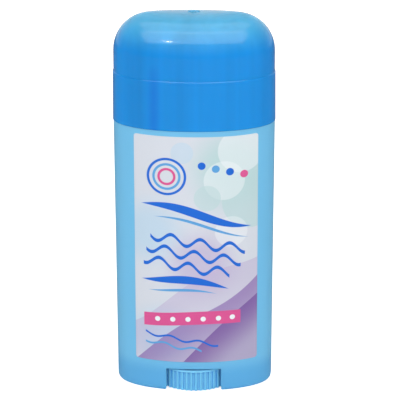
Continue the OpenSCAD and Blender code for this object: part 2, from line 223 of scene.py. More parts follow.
@dataclass(frozen=True)
class MouldedSkin:
    """The surface of moulded plastic: a fine grain, slow waves of the wall, upright streaks and small scuffs.

    Attributes:
        waves, scratches, patches, streaks: How many there are to a metre. Scratches show only in the patches.
        wave_scale, scratch_scale, streak_scale: Their scale along each axis.
        scratch_lean: How scratches are turned about each axis, in radians.
        scratch_span, patch_span: The noise at which they start, and at which they are full.
        scuff_colour, scuff_cover: A scuff's colour, in linear light, and how much of it shows.
        scuff_roughness, scuff_depth: How much more matt it is, and how deep, as a share of the bump.
        grain_roughness: How much the grain varies the roughness.
    """

    waves: float = 95.0
    wave_scale: Point = (1.0, 1.0, 0.22)
    scratches: float = 900.0
    scratch_scale: Point = (1.0, 0.12, 1.0)
    scratch_lean: Point = (0.2, 0.5, 0.9)
    scratch_span: Span = (0.66, 0.74)
    patches: float = 60.0
    patch_span: Span = (0.52, 0.68)
    streaks: float = 150.0
    streak_scale: Point = (1.0, 1.0, 0.03)
    scuff_colour: Colour = (0.82, 0.88, 0.93)
    scuff_cover: float = 0.35
    scuff_roughness: float = 0.22
    scuff_depth: float = 0.3
    grain_roughness: float = 0.05

    def make(self) -> NodeTree:
        """Makes the shared node group.

        Returns:
            The group, with Colour, Roughness and Height.
        """
        tree = bpy.data.node_groups.new("moulded_skin", "ShaderNodeTree")
        numbers = ("Roughness", "Grain Scale", "Grain", "Waves", "Tone", "Wear", "Streaks")
        for way, labels in (("INPUT", ("Colour", *numbers)), ("OUTPUT", ("Colour", "Roughness", "Height"))):
            for label in labels:
                kind = "NodeSocketColor" if label == "Colour" else "NodeSocketFloat"
                tree.interface.new_socket(label, in_out=way, socket_type=kind)
        graph = Graph(tree)
        given, where = graph.add("NodeGroupInput").outputs, graph.place()
        grain = graph.noise(where, given["Grain Scale"], 2.0)
        waves = graph.noise(graph.mapped(where, self.wave_scale), self.waves, 1.0)
        scratched = graph.mapped(where, self.scratch_scale, self.scratch_lean)
        lines = graph.ramp(graph.noise(scratched, self.scratches, 4.0, 0.7), *self.scratch_span)
        patches = graph.ramp(graph.noise(where, self.patches, 2.0), *self.patch_span)
        scuffs = graph.maths("MULTIPLY", graph.maths("MULTIPLY", lines, patches), given["Wear"])
        tone = graph.maths("MULTIPLY_ADD", waves, given["Tone"], graph.maths("MULTIPLY", given["Tone"], -0.5))
        streaks = graph.maths("SUBTRACT", graph.noise(graph.mapped(where, self.streak_scale), self.streaks, 2.0), 0.5)
        value = graph.maths("ADD", 1.0, graph.maths("MULTIPLY_ADD", streaks, given["Streaks"], tone))
        shade = graph.add("ShaderNodeHueSaturation", {"Color": given["Colour"], "Value": value}).outputs[0]
        colour = graph.mix(graph.maths("MULTIPLY", scuffs, self.scuff_cover), shade, self.scuff_colour)
        grained = graph.maths("MULTIPLY_ADD", grain, self.grain_roughness, given["Roughness"])
        rough = graph.maths("MULTIPLY_ADD", scuffs, self.scuff_roughness, grained, clamp=True)
        dents = graph.maths("MULTIPLY_ADD", waves, given["Waves"], graph.maths("MULTIPLY", scuffs, -self.scuff_depth))
        height = graph.maths("MULTIPLY_ADD", grain, given["Grain"], dents)
        graph.add("NodeGroupOutput", {"Colour": colour, "Roughness": rough, "Height": height})
        return tree


def new_material(name: str) -> tuple[Material, bpy.types.Node, Graph]:
    """Makes a material, and gives its Principled shader and its nodes' graph too."""
    material = bpy.data.materials.new(name)
    material.use_nodes = True
    return material, material.node_tree.nodes["Principled BSDF"], Graph(material.node_tree)


def wire_surface(graph: Graph, skin: NodeTree, values: dict[str, Any], shader: bpy.types.Node, strength: float,
                 lift: float) -> None:
    """Feeds the colour, roughness and height of the shared surface to a shader.

    Args:
        graph: Where the nodes go.
        skin: The moulded_skin group.
        values: The values of its inputs.
        shader: The Principled shader.
        strength: How strong the bump is.
        lift: How high it stands, in metres.
    """
    made = graph.add("ShaderNodeGroup", values, node_tree=skin).outputs
    bump = graph.add("ShaderNodeBump", {"Strength": strength, "Distance": lift, "Height": made["Height"]})
    graph.fill(shader, {"Base Color": made["Colour"], "Roughness": made["Roughness"], "Normal": bump.outputs[0]})


@dataclass(frozen=True)
class PaintedLight:
    """Painted light and shade: another colour laid on a plastic in some places, standing for how light falls there.

    Attributes:
        colour: That colour, in linear light.
    """

    colour: Colour

    def mask(self, graph: Graph, place: Sequence[NodeSocket]) -> NodeSocket:
        """Makes the mask of those places from X, Y and Z, in metres."""
        raise NotImplementedError


@dataclass(frozen=True)
class PaintedLightAbove(PaintedLight):
    """Painted light: a lighter colour above a height, so that the wall is lighter at the top and darker towards the
    bottom.

    Attributes:
        start, full: Heights where it starts and where it is full, in metres.
    """

    start: float
    full: float

    def mask(self, graph: Graph, place: Sequence[NodeSocket]) -> NodeSocket:
        """Makes the mask of what is above that height."""
        return graph.ramp(place[2], self.start, self.full)


@dataclass(frozen=True)
class PaintedReflectionStripe(PaintedLight):
    """Painted reflection: a darker upright stripe on the front wall, which stands for a dark thing mirrored in it.

    Attributes:
        x, half_width: Its middle and half its width, in metres.
        top, fade: Height of its upper end, and over how much height it fades there, in metres.
        strength: How much of the colour shows.
    """

    x: float
    half_width: float
    top: float
    fade: float
    strength: float

    def mask(self, graph: Graph, place: Sequence[NodeSocket]) -> NodeSocket:
        """Makes the mask of the painted reflection stripe."""
        off = graph.maths("ABSOLUTE", graph.maths("SUBTRACT", place[0], self.x))
        stripe = graph.maths("SUBTRACT", 1.0, graph.ramp(off, 0.0, self.half_width))
        front = graph.maths("SUBTRACT", graph.maths("LESS_THAN", place[1], 0.0),
                            graph.ramp(place[2], self.top - self.fade, self.top), clamp=True)
        return graph.maths("MULTIPLY", graph.maths("MULTIPLY", stripe, front), self.strength)


@dataclass(frozen=True)
class PaintedRecessShade(PaintedLight):
    """Painted shade: a deeper colour in narrow recesses, which stands for the light that reaches them only through the
    plastic.

    Attributes:
        reach: How narrow a recess of the piece's own form has to be, in metres.
        span: The openness at which the colour is full, and the one at which it is gone.
    """

    reach: float
    span: Span

    def mask(self, graph: Graph, place: Sequence[NodeSocket]) -> NodeSocket:
        """Makes the mask of the painted shade in the recesses."""
        openness = graph.add("ShaderNodeAmbientOcclusion", {"Distance": self.reach}, samples=8, only_local=True)
        return graph.maths("SUBTRACT", 1.0, graph.ramp(openness.outputs["AO"], *self.span))


@dataclass(frozen=True)
class MouldedPlastic:
    """A moulded plastic finish.

    Attributes:
        name: The material's name.
        colour: Its colour, in linear light.
        painted_lights: Its painted light and shade, as other colours in some places, from the lowest layer up.
        roughness: How matt it is.
        depth, spread: How far light spreads in it, in metres, and the shares of that for red, green and blue.
        through: How much of its light comes from inside.
        grain_scale: Waves of its fine grain to a metre.
        grain, waves: Heights of that grain and of the wall's slow waves, as shares of the bump.
        wear: How many scuffs it has.
        tone: How much its colour varies.
        streaks: How strong the upright streaks of a slightly clear, uneven wall are.
        coat, coat_roughness: How much clear gloss lies on it, and how matt that is.
        bump, lift: How strong the bump is, and how high it stands, in metres.
        ior: How strongly it bends light.
    """

    name: str
    colour: Colour
    painted_lights: tuple[PaintedLight, ...] = ()
    roughness: float = 0.32
    depth: float = 0.002
    spread: Point = (0.5, 0.8, 1.0)
    through: float = 0.15
    grain_scale: float = 2600.0
    grain: float = 0.25
    waves: float = 0.8
    wear: float = 0.4
    tone: float = 0.04
    streaks: float = 0.0
    coat: float = 0.0
    coat_roughness: float = 0.04
    bump: float = 0.35
    lift: float = 0.00005
    ior: float = 1.49

    def make(self, skin: NodeTree) -> Material:
        """Makes the material.

        Args:
            skin: The moulded_skin group.

        Returns:
            The material.
        """
        material, shader, graph = new_material(self.name)
        place = graph.split(graph.place())
        colour: Any = (*self.colour, 1.0)
        for painted_light in self.painted_lights:
            colour = graph.mix(painted_light.mask(graph, place), colour, painted_light.colour)
        values = {"Colour": colour, "Roughness": self.roughness, "Grain Scale": self.grain_scale, "Grain": self.grain,
                  "Waves": self.waves, "Wear": self.wear, "Tone": self.tone, "Streaks": self.streaks}
        wire_surface(graph, skin, values, shader, self.bump, self.lift)
        graph.fill(shader, {"Coat Weight": self.coat, "Coat Roughness": self.coat_roughness, "IOR": self.ior,
                            "Subsurface Weight": self.through, "Subsurface Scale": self.depth,
                            "Subsurface Radius": self.spread})
        return material


@dataclass(frozen=True)
class PrintColours:
    """The label's inks, in linear light."""

    ground: Colour = linear(213, 218, 227)
    aqua: Colour = linear(186, 214, 216)
    lilac: Colour = linear(190, 176, 210)
    violet: Colour = linear(140, 104, 176)
    plum: Colour = linear(120, 80, 158)
    blue: Colour = linear(14, 104, 214)
    pale_blue: Colour = linear(92, 164, 222)
    sky: Colour = linear(190, 214, 232)
    pink: Colour = linear(221, 84, 148)
    white: Colour = linear(238, 243, 246)


@dataclass
class Plate:
    """Printing masks in the label's plane. Sizes are in millimetres, lines and the outputs in metres.

    Attributes:
        graph: Where the nodes go.
        x: The output that gives X.
        z: The output that gives Z.
        edge, hoop_edge: Width of the soft edges of strokes and hills, and of hoops.
        hill_fade: How much of a hill's strength fades away below its line.
    """

    graph: Graph
    x: Any
    z: Any
    edge: float = 0.15
    hoop_edge: float = 0.1
    hill_fade: float = 0.65

    def far(self, centre: Span) -> NodeSocket:
        """Measures the distance from a point, in metres."""
        graph = self.graph
        across = graph.maths("SUBTRACT", self.x, centre[0] * MM)
        up = graph.maths("SUBTRACT", self.z, centre[1] * MM)
        return graph.maths("SQRT", graph.maths("MULTIPLY_ADD", across, across, graph.maths("MULTIPLY", up, up)))

    def disc(self, centre: Span, radius: float, blur: float = 0.2) -> NodeSocket:
        """Makes the mask of a disc.

        Args:
            centre: X and Z of its middle.
            radius: Its radius.
            blur: Width of its soft edge.

        Returns:
            The mask.
        """
        graph = self.graph
        return graph.maths("SUBTRACT", 1.0, graph.ramp(self.far(centre), (radius - blur) * MM, radius * MM))

    def hoop(self, centre: Span, radius: float, width: float) -> NodeSocket:
        """Makes the mask of a thin circle.

        Args:
            centre: X and Z of its middle.
            radius: Radius of its line.
            width: Width of its line.

        Returns:
            The mask.
        """
        graph, half = self.graph, width / 2
        off = graph.maths("ABSOLUTE", graph.maths("SUBTRACT", self.far(centre), radius * MM))
        return graph.maths("SUBTRACT", 1.0, graph.ramp(off, (half - self.hoop_edge) * MM, (half + self.hoop_edge) * MM))

    def line(self, height: float, slope: float, swing: float, turn: float, waves: float = 120.0) -> NodeSocket:
        """Gives the height of a wavy line, in metres.

        Args:
            height: Height where X is 0.
            slope: How much it rises for each millimetre to the right.
            swing: How far it swings up and down.
            turn: Where along its wave it starts, in radians.
            waves: Radians of its wave to a metre.

        Returns:
            The height.
        """
        graph = self.graph
        wave = graph.maths("SINE", graph.maths("MULTIPLY_ADD", self.x, waves, turn))
        return graph.maths("MULTIPLY_ADD", self.x, slope, graph.maths("MULTIPLY_ADD", wave, swing * MM, height * MM))

    def stroke(self, line: Any, width: float, left: float, right: float, tapered: bool) -> NodeSocket:
        """Makes the mask of a stroke along a line.

        Args:
            line: The line's height.
            width: Its width, or its greatest one.
            left: X of its left end.
            right: X of its right end.
            tapered: Whether it thins towards its ends.

        Returns:
            The mask.
        """
        graph, middle, half = self.graph, (left + right) / 2 * MM, (right - left) / 2 * MM
        across = graph.maths("SUBTRACT", self.x, middle)
        off = graph.maths("ABSOLUTE", graph.maths("SUBTRACT", self.z, line))
        if tapered:
            share = graph.maths("DIVIDE", across, half)
            taper = graph.maths("SUBTRACT", 1.0, graph.maths("MULTIPLY", share, share), clamp=True)
            inside = graph.maths("SUBTRACT", graph.maths("MULTIPLY", taper, width / 2 * MM), off)
        else:
            along = graph.maths("SUBTRACT", half, graph.maths("ABSOLUTE", across))
            inside = graph.maths("MINIMUM", along, graph.maths("SUBTRACT", width / 2 * MM, off))
        return graph.ramp(inside, 0.0, self.edge * MM)

    def hill(self, line: Any, fade: float) -> NodeSocket:
        """Makes the mask of what lies under a line, strongest at the line.

        Args:
            line: The line's height.
            fade: How far below the line it has faded.

        Returns:
            The mask.
        """
        graph = self.graph
        under = graph.maths("SUBTRACT", line, self.z)
        deep = graph.ramp(under, 0.0, fade * MM)
        return graph.maths("MULTIPLY", graph.ramp(under, 0.0, self.edge * MM),
                           graph.maths("MULTIPLY_ADD", deep, -self.hill_fade, 1.0))


@dataclass(frozen=True)
class PrintedFilm:
    """The label's film, printed with discs, hills, hoops, dots, ribbons, waves and a band.

    Attributes:
        name: The material's name.
        inks: The colours.
        texture: The moulded_skin group's inputs, but for the colour.
        slope, ripples: How steeply the ribbons and waves rise, and the waves' radians to a metre.
        bump, lift: How strong the bump is, and how high it stands, in metres.
        ior: How strongly it bends light.
    """

    name: str = "printed_film"
    inks: PrintColours = PrintColours()
    texture: tuple[tuple[str, float], ...] = (("Roughness", 0.36), ("Grain Scale", 4200.0), ("Grain", 0.35),
                                              ("Waves", 0.4), ("Wear", 0.2), ("Tone", 0.02))
    slope: float = -0.16
    ripples: float = 600.0
    bump: float = 0.3
    lift: float = 0.00004
    ior: float = 1.45

    def artwork(self, plate: Plate) -> Any:
        """Lays the inks over one another, from the ground up.

        Args:
            plate: The masks.

        Returns:
            The print's colour.
        """
        inks, graph = self.inks, plate.graph
        layers: list[tuple[Any, float, Colour]] = [
            (plate.disc((x, z), radius, blur), strength, ink) for x, z, radius, blur, strength, ink in (
                (14.0, 86.0, 20.0, 14.0, 1.0, inks.aqua), (-16.0, 62.0, 17.0, 13.0, 0.9, inks.sky),
                (3.0, 50.0, 17.0, 13.0, 0.7, inks.lilac), (-12.0, 22.0, 15.0, 11.0, 0.9, inks.sky),
                (21.0, 74.0, 11.0, 0.4, 0.75, inks.aqua), (11.0, 82.0, 7.5, 0.4, 0.45, inks.white),
                (17.0, 93.0, 8.5, 0.4, 0.5, inks.white), (5.0, 75.5, 5.0, 0.4, 0.6, inks.aqua),
                (13.5, 62.5, 6.0, 0.4, 0.4, inks.white), (-4.0, 92.5, 4.2, 0.4, 0.6, inks.sky))]
        layers += [(plate.hill(plate.line(height, slope, swing, turn), fade), strength, ink)
                   for height, slope, swing, turn, fade, strength, ink in (
                       (41.0, 0.55, 3.0, 1.2, 26.0, 0.55, inks.lilac), (28.0, 0.8, 2.4, 2.6, 24.0, 0.75, inks.violet),
                       (15.5, 0.95, 1.6, 0.4, 20.0, 0.8, inks.plum))]
        layers += [(plate.hoop((-9.5, 83.5), radius, 0.9), 1.0, ink)
                   for radius, ink in ((6.6, inks.blue), (4.6, inks.pale_blue), (2.8, inks.pink))]
        layers += [(plate.disc((x, 88.5 - 0.25 * x), 1.5), 1.0, ink)
                   for x, ink in ((3.0, inks.blue), (8.0, inks.pale_blue), (13.0, inks.blue), (18.0, inks.pink))]
        layers += [(plate.stroke(plate.line(height, self.slope, 1.9, turn), width, left, right, True), 1.0, ink)
                   for height, turn, width, left, right, ink in (
                       (69.0, 2.6, 3.6, -19.0, 21.0, inks.blue), (64.8, 2.3, 1.3, -15.0, 20.5, inks.pale_blue),
                       (42.0, 1.4, 3.2, -19.0, 13.0, inks.blue), (38.4, 1.1, 1.2, -17.0, 9.0, inks.pale_blue))]
        for height, swing, turn, width, left, right, ink in (
                (58.5, 1.7, 0.0, 1.5, -15.5, 18.5, inks.blue), (53.6, 1.7, 1.3, 1.5, -17.0, 17.0, inks.blue),
                (48.7, 1.7, 2.6, 1.5, -18.0, 13.0, inks.blue), (20.0, 0.7, 0.4, 0.9, -17.5, 9.0, inks.blue),
                (16.8, 0.7, 1.7, 0.9, -17.5, 3.0, inks.pale_blue)):
            wave = plate.line(height, self.slope, swing, turn, self.ripples)
            layers.append((plate.stroke(wave, width, left, right, False), 1.0, ink))
        height, slope = 28.8, 0.03
        band = plate.stroke(plate.line(height, slope, 0.4, 1.1), 5.2, -18.0, 17.0, False)
        layers.append((band, 1.0, inks.pink))
        layers += [(plate.disc((x, height + slope * x), 1.05), 1.0, inks.white)
                   for x in (-13.0, -7.5, -2.0, 3.5, 9.0, 14.0)]
        colour: Any = inks.ground
        for mask, strength, ink in layers:
            colour = graph.mix(graph.maths("MULTIPLY", mask, strength), colour, ink)
        return colour

    def make(self, skin: NodeTree) -> Material:
        """Makes the printed film.

        Args:
            skin: The moulded_skin group.

        Returns:
            The material.
        """
        material, shader, graph = new_material(self.name)
        place = graph.split(graph.place())
        values = {"Colour": self.artwork(Plate(graph, place[0], place[2])), **dict(self.texture)}
        wire_surface(graph, skin, values, shader, self.bump, self.lift)
        graph.fill(shader, {"IOR": self.ior})
        return material


def mesh_data(name: str, mesh: BMesh) -> bpy.types.Mesh:
    """Turns a mesh under construction into mesh data, and frees it."""
    data = bpy.data.meshes.new(name)
    mesh.to_mesh(data)
    mesh.free()
    return data


def placed(name: str, data: bpy.types.ID) -> bpy.types.Object:
    """Makes an object from its data and puts it into the scene."""
    made = bpy.data.objects.new(name, data)
    bpy.context.scene.collection.objects.link(made)
    return made


def set_smooth(mesh: BMesh, angle: float) -> None:
    """Smooths every face and leaves the edges sharper than an angle hard."""
    for face in mesh.faces:
        face.smooth = True
    for edge in mesh.edges:
        edge.smooth = edge.is_manifold and edge.calc_face_angle(0.0) < math.radians(angle)


def finished_piece(name: str, mesh: BMesh, body: Body, slot: Slot, finishes: Finishes, *replaced: Node) -> None:
    """Turns a mesh into a piece that rides on a body and wears a finish.

    Args:
        name: The piece's name.
        mesh: Its mesh, which is freed.
        body: The body it rides on.
        slot: The record's slot that its finish comes from.
        finishes: All materials.
        *replaced: The nodes that it stands for.
    """
    data = mesh_data(name, mesh)
    data.materials.append(finishes[slot])
    piece = placed(name, data)
    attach(piece, body.value)
    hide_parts(*(node.value for node in replaced))
    piece.modifiers.new("even_normals", "WEIGHTED_NORMAL").keep_sharp = True
    LOG.info("%s: %d faces on %s", name, len(data.polygons), body.value)


def smooth_copy(node: Node, angle: float = HARD) -> BMesh:
    """Copies a node's mesh, joins its loose triangles and smooths it.

    Args:
        node: The node.
        angle: Edges sharper than this, in degrees, stay hard.

    Returns:
        The copy.
    """
    mesh = bmesh.new()
    mesh.from_mesh(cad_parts[node.value].data)
    bmesh.ops.remove_doubles(mesh, verts=mesh.verts, dist=MERGE)
    bmesh.ops.dissolve_limit(mesh, angle_limit=math.radians(FLAT), verts=mesh.verts, edges=mesh.edges)
    set_smooth(mesh, angle)
    return mesh


def soften(mesh: BMesh, chosen: Callable[[Vector], bool], width: float) -> int:
    """Bevels the sharp edges that a test chooses by their middle, and smooths the mesh again.

    Args:
        mesh: The mesh.
        chosen: Tells from an edge's middle, in millimetres, whether it is meant.
        width: Width of the bevel, in millimetres.

    Returns:
        How many edges were bevelled.
    """
    limit = math.radians(BEVELLED)
    edges = [edge for edge in mesh.edges if edge.is_manifold and edge.calc_face_angle(0.0) > limit
             and chosen((edge.verts[0].co + edge.verts[1].co) / (2 * MM))]
    bmesh.ops.bevel(mesh, geom=edges, offset=width * MM, offset_type="OFFSET", affect="EDGES", segments=2,
                    profile=0.5, material=-1, clamp_overlap=True)
    set_smooth(mesh, HARD)
    return len(edges)


@dataclass
class LoftedPiece:
    """A closed shell skinned over oval rings.

    Attributes:
        segments: Points round each ring.
        power: How full the ovals are, where 2 is an ellipse.
    """

    segments: int = 128
    power: float = 2.08

    def fuller(self, value: float) -> float:
        """Moves a point of the unit circle outwards, towards the fuller oval."""
        return math.copysign(abs(value) ** (2 / self.power), value)

    def loop(self, mesh: BMesh, ring: Ring) -> list[BMEdge]:
        """Adds one oval loop of edges.

        Args:
            mesh: Where it goes.
            ring: Its width, depth and height, in millimetres.

        Returns:
            Its edges.
        """
        width, depth, height = ring
        made = bmesh.ops.create_circle(mesh, segments=self.segments, radius=1.0)["verts"]
        for vert in made:
            vert.co = Vector((width / 2 * self.fuller(vert.co.x), depth / 2 * self.fuller(vert.co.y), height)) * MM
        return list({edge for vert in made for edge in vert.link_edges})

    def skin(self, mesh: BMesh, rings: Sequence[Ring]) -> tuple[list[BMEdge], list[BMEdge]]:
        """Bridges rings in order.

        Args:
            mesh: Where they go.
            rings: The rings, from one end to the other.

        Returns:
            The edges of the first and of the last ring.
        """
        loops = [self.loop(mesh, ring) for ring in rings]
        for below, above in zip(loops, loops[1:]):
            bmesh.ops.bridge_loops(mesh, edges=below + above)
        return loops[0], loops[-1]

    def shell(self, outer: Sequence[Ring], inner: Sequence[Ring]) -> BMesh:
        """Makes a cup that is open below from its outer and inner rings.

        Args:
            outer: The outside's rings, going up.
            inner: The inside's rings, going up.

        Returns:
            The closed mesh.
        """
        mesh = bmesh.new()
        foot, top = self.skin(mesh, outer)
        mouth, ceiling = self.skin(mesh, inner)
        bmesh.ops.contextual_create(mesh, geom=top)
        bmesh.ops.contextual_create(mesh, geom=ceiling)
        bmesh.ops.bridge_loops(mesh, edges=foot + mouth)
        bmesh.ops.recalc_face_normals(mesh, faces=mesh.faces)
        return mesh


def inset(ring: Ring, by: float, height: float | None = None) -> Ring:
    """Pulls a ring in on each side, and sets its height if one is given."""
    return ring[0] - 2 * by, ring[1] - 2 * by, ring[2] if height is None else height


def rounded_top(ring: Ring, radius: float, reach: float, top: float) -> list[Ring]:
    """Makes the rings of a rounded top edge.

    Args:
        ring: The ring below the rounding.
        radius: Height of the rounding, and how far it reaches in along the width.
        reach: How far it reaches in along the depth.
        top: Height of the top.

    Returns:
        The rings, going up.
    """
    turns = (math.pi / 2 * step / ROUNDING_STEPS for step in range(ROUNDING_STEPS + 1))
    return [(ring[0] - 2 * radius * (1 - math.cos(a)), ring[1] - 2 * reach * (1 - math.cos(a)),
             top - radius * (1 - math.sin(a))) for a in turns]


def carved(mesh: BMesh, cutter: BMesh) -> BMesh:
    """Cuts one mesh out of another.

    Args:
        mesh: The mesh that stays, which is freed.
        cutter: The mesh that is taken out of it, which is freed.

    Returns:
        The cut mesh.
    """
    parts = [placed(label, mesh_data(label, source)) for label, source in (("carved", mesh), ("cutter", cutter))]
    cut = parts[0].modifiers.new("cut", "BOOLEAN")
    cut.operation, cut.solver, cut.object = "DIFFERENCE", "EXACT", parts[1]
    made = bmesh.new()
    made.from_object(parts[0], bpy.context.evaluated_depsgraph_get())
    for part in parts:
        bpy.data.meshes.remove(part.data)
    return made


@dataclass
class Cap(LoftedPiece):
    """The pull-off cap, in millimetres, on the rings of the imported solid.

    Attributes:
        edge: The ring of the lower edge.
        band_top: Height of the ledge above the wider band.
        draft: How much the band narrows on each side.
        step: How far the ledge steps in.
        crisp, ledge: Height of the ledge outside, and of the step inside.
        rounding: Height of the top's rounding, and its reach along the width.
        reach: Its reach along the depth.
        top, inner_top: Height of the top, and of the ceiling.
        inner_step: Height where the step inside starts.
        mouth: How far the mouth flares, and how high.
        groove, groove_depth: Height of the snap groove's middle, and its depth.
        groove_half: Half its height at its floor and at its rim.
        gate, gate_depth: Radius and depth of the gate mark's dish.
        gate_flare: How far the dish's wall leans in and out from its radius.
        gate_corner: Where its floor's corner ends, inwards from its radius and above the floor.
        gate_steps: Points round the dish.
        nub: Radius and height above the floor of the points of the nub in the dish.
        wall, soft: Thickness of the wall, and width of the soft edges.
    """

    edge: Ring = (58.0, 30.2, 100.5)
    band_top: float = 118.7
    draft: float = 0.15
    step: float = 0.25
    crisp: float = 0.3
    ledge: float = 0.9
    rounding: float = 14.0
    reach: float = 14.2
    top: float = 140.0
    wall: float = 1.1
    inner_top: float = 138.5
    inner_step: float = 119.22
    mouth: Span = (0.1, 0.15)
    groove: float = 107.4
    groove_depth: float = 0.12
    groove_half: Span = (0.3, 0.6)
    gate: float = 2.3
    gate_depth: float = 0.5
    gate_flare: float = 0.5
    gate_corner: Span = (0.32, 0.06)
    gate_steps: int = 48
    nub: tuple[Span, ...] = ((0.0, 0.16), (0.45, 0.14), (0.6, 0.02))
    soft: float = 0.12

    def outside(self) -> list[Ring]:
        """Lists the outside's rings: the soft lower edge, the band, its ledge and the arched top."""
        band = inset(self.edge, self.draft, self.band_top - self.crisp)
        upper = inset(band, self.step, self.band_top)
        soft = self.soft / 2
        return [inset(self.edge, self.soft), inset(self.edge, 0, self.edge[2] + self.soft),
                inset(band, 0, band[2] - soft), inset(band, soft / 2, band[2] + soft),
                inset(upper, -soft / 3, upper[2] - soft),
                inset(upper, 0, upper[2] + soft)] + rounded_top(upper, self.rounding, self.reach, self.top)

    def inside(self) -> list[Ring]:
        """Lists the inside's rings: the mouth, the snap groove, the step and the ceiling."""
        wall, groove, deep = inset(self.edge, self.wall), self.groove, -self.groove_depth
        flare, flared = self.mouth
        floor, rim = self.groove_half
        upper = inset(self.edge, self.draft + self.step + self.wall)
        return [inset(wall, -flare), inset(wall, 0, self.edge[2] + flared), inset(wall, 0, groove - rim),
                inset(wall, deep, groove - floor), inset(wall, deep, groove + floor), inset(wall, 0, groove + rim),
                inset(wall, 0, self.inner_step), inset(upper, 0, self.inner_step + self.ledge)
                ] + rounded_top(upper, self.rounding - self.wall, self.reach - self.wall, self.inner_top)

    def gate_cutter(self) -> BMesh:
        """Turns the gate mark's cutter: a flared dish with a small nub left in its middle."""
        mesh = bmesh.new()
        floor, above = self.top - self.gate_depth, self.top + self.gate_depth
        corner = (self.gate - self.gate_corner[0], floor + self.gate_corner[1])
        profile = [*((radius, floor + height) for radius, height in self.nub), (self.gate - self.gate_flare, floor),
                   corner, (self.gate + self.gate_flare, above), (0.0, above)]
        verts = [mesh.verts.new((x * MM, 0.0, z * MM)) for x, z in profile]
        edges = [mesh.edges.new(pair) for pair in zip(verts, verts[1:])]
        bmesh.ops.spin(mesh, geom=verts + edges, cent=(0, 0, 0), axis=(0, 0, 1), angle=math.tau,
                       steps=self.gate_steps, use_merge=True, use_duplicate=False)
        bmesh.ops.remove_doubles(mesh, verts=mesh.verts, dist=MERGE)
        bmesh.ops.recalc_face_normals(mesh, faces=mesh.faces)
        return mesh

    def build(self, finishes: Finishes) -> None:
        """Builds the cap and dresses it.

        Args:
            finishes: All materials.
        """
        mesh = carved(self.shell(self.outside(), self.inside()), self.gate_cutter())
        set_smooth(mesh, HARD_LOFT)
        finished_piece("cap_shell", mesh, Body.CAP, Slot.CAP, finishes, Node.CAP)


@dataclass
class Barrel:
    """The oval shell that stands on the table, and the label on its front, in millimetres.

    Attributes:
        outline: Width and depth of the foot.
        power: How full its oval is, where 2 is an ellipse.
        outer_share: How far out the outside starts, where the outline is 1.
        window: Half the width, and the height, that the window's edges keep within.
        edge_bevel: Width of their bevel.
    """

    outline: Span = (56.5, 29.2)
    power: float = 2.08
    outer_share: float = 0.84
    window: Span = (11.6, 9.3)
    edge_bevel: float = 0.22

    def at_window(self, point: Vector) -> bool:
        """Tells whether a point is on the outside, at an opening that shows the dial."""
        width, depth = self.outline
        share = abs(2 * point.x / width) ** self.power + abs(2 * point.y / depth) ** self.power
        return share > self.outer_share and abs(point.x) < self.window[0] and point.z < self.window[1]

    def build(self, finishes: Finishes) -> None:
        """Builds the shell with soft window edges, and its label.

        Args:
            finishes: All materials.
        """
        mesh = smooth_copy(Node.BARREL)
        LOG.info("window edges softened: %d", soften(mesh, self.at_window, self.edge_bevel))
        finished_piece("barrel_shell", mesh, Body.PACK, Slot.BARREL, finishes, Node.BARREL)
        label = smooth_copy(Node.LABEL, HARD_LABEL)
        finished_piece("label_film", label, Body.PACK, Slot.LABEL, finishes, Node.LABEL)


@dataclass
class DialScrew:
    """The ribbed dial and its feed screw, in millimetres.

    Attributes:
        rim_top, rim_near: Height of the rim's upper edge, and how close to it its points are.
        rim_radius: Radius that they lie outside of.
        rim_bevel: Width of its bevel.
    """

    rim_top: float = 8.3
    rim_near: float = 0.05
    rim_radius: float = 14.3
    rim_bevel: float = 0.14

    def on_rim(self, point: Vector) -> bool:
        """Tells whether a point is on the rim's upper edge."""
        return abs(point.z - self.rim_top) < self.rim_near and math.hypot(point.x, point.y) > self.rim_radius

    def build(self, finishes: Finishes) -> None:
        """Builds the dial with a soft rim, and its screw.

        Args:
            finishes: All materials.
        """
        mesh = smooth_copy(Node.DIAL)
        LOG.info("rim edges softened: %d", soften(mesh, self.on_rim, self.rim_bevel))
        finished_piece("dial_and_screw", mesh, Body.DIAL, Slot.DIAL, finishes, Node.DIAL)


class Platform:
    """The carrier and the bar of wax that it lifts."""

    def build(self, finishes: Finishes) -> None:
        """Builds the carrier and the bar.

        Args:
            finishes: All materials.
        """
        carrier, bar = smooth_copy(Node.CARRIER), smooth_copy(Node.BAR)
        finished_piece("carrier_platform", carrier, Body.PLATFORM, Slot.INNER, finishes, Node.CARRIER)
        finished_piece("wax_stick", bar, Body.PLATFORM, Slot.WAX, finishes, Node.BAR)


@dataclass
class Seal(LoftedPiece):
    """The thin cover over the bar, in millimetres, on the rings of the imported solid.

    Attributes:
        plug: The ring of the plug's lower end.
        flange, flange_top: The ring of the flange's underside, and the height of its upper side.
        rounding: Height and reach of the dome's rounding.
        top: Height of the dome.
        wall, soft: Thickness of the wall, and width of the soft edges.
    """

    plug: Ring = (52.8, 25.0, 114.12)
    flange: Ring = (54.24, 26.44, 118.12)
    flange_top: float = 118.72
    rounding: float = 11.4
    top: float = 135.5
    wall: float = 0.6
    soft: float = 0.08

    def outside(self) -> list[Ring]:
        """Lists the outside's rings: the plug, the flange with soft edges, and the dome."""
        plug, flange, soft = self.plug, self.flange, self.soft
        return [inset(plug, soft), inset(plug, 0, plug[2] + soft), inset(plug, 0, flange[2]), inset(flange, soft),
                inset(flange, 0, flange[2] + soft), inset(flange, 0, self.flange_top - soft),
                inset(flange, soft, self.flange_top), inset(plug, 0, self.flange_top)
                ] + rounded_top(plug, self.rounding, self.rounding, self.top)

    def inside(self) -> list[Ring]:
        """Lists the inside's rings: the plug's bore and the dome's underside."""
        bore, radius = inset(self.plug, self.wall), self.rounding - self.wall
        return [bore] + rounded_top(bore, radius, radius, self.top - self.wall)

    def build(self, finishes: Finishes) -> None:
        """Builds the seal and dresses it.

        Args:
            finishes: All materials.
        """
        mesh = self.shell(self.outside(), self.inside())
        set_smooth(mesh, HARD_LOFT)
        finished_piece("seal_shell", mesh, Body.SEAL, Slot.SEAL, finishes, Node.SEAL)


